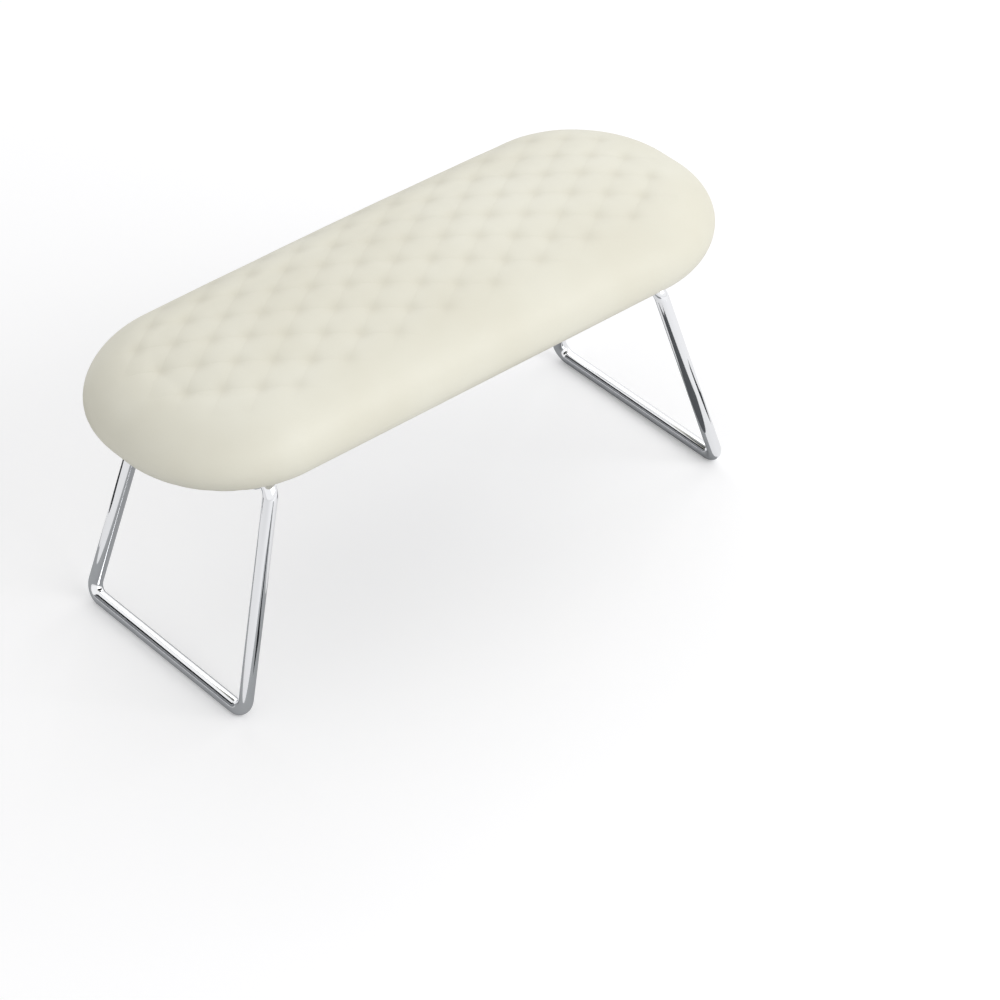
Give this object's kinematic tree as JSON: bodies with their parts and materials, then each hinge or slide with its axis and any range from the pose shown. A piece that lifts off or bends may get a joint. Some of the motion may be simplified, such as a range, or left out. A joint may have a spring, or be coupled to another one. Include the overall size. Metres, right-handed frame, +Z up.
{
  "type": "tattoo arm rest stand",
  "caption": "Low table-top arm rest: a quilted oblong cushion on folding chromed wire legs, for tattooing, manicure or massage work.",
  "frame": {"origin": "centre of the opened stand, on the surface that it stands on", "axes": "+X along the cushion towards the right leg, +Y across it towards the back, +Z up"},
  "size_m": [0.38, 0.145, 0.1797],
  "materials": {
    "cover_leather": "satin",
    "foam": "open-cell polyurethane foam, matt",
    "plywood": "raw birch plywood",
    "lining": "non-woven fabric, matt",
    "zinc_steel": "zinc-plated, satin",
    "nylon": "natural nylon",
    "black_steel": "blackened steel, matt",
    "chrome_wire": "bright chrome plating"
  },
  "bodies": {
    "cushion": {"cover": "cover_leather", "foam_pad": "foam", "base_board": "plywood", "underside_lining": "lining", "staples": "zinc_steel", "plate_left_front": "zinc_steel", "plate_left_back": "zinc_steel", "plate_right_front": "zinc_steel", "plate_right_back": "zinc_steel", "saddle_left_front": "zinc_steel", "saddle_left_back": "zinc_steel", "saddle_right_front": "zinc_steel", "saddle_right_back": "zinc_steel", "bush_left_front": "nylon", "bush_left_back": "nylon", "bush_right_front": "nylon", "bush_right_back": "nylon", "bracket_screws": "zinc_steel"},
    "left_leg": {"left_leg": "chrome_wire", "cam_left_front": "black_steel", "cam_left_back": "black_steel"},
    "right_leg": {"right_leg": "chrome_wire", "cam_right_front": "black_steel", "cam_right_back": "black_steel"}
  },
  "joints": [
    {"name": "right_leg_fold", "type": "hinge", "parent": "cushion", "child": "right_leg", "pos_m": [0.13253, 0, 0.12751], "axis": [0, 1, 0], "range_deg": [0, 105.6]},
    {"name": "left_leg_fold", "type": "hinge", "parent": "cushion", "child": "left_leg", "pos_m": [-0.13253, 0, 0.12751], "axis": [0, -1, 0], "range_deg": [0, 105.6]}
  ]
}
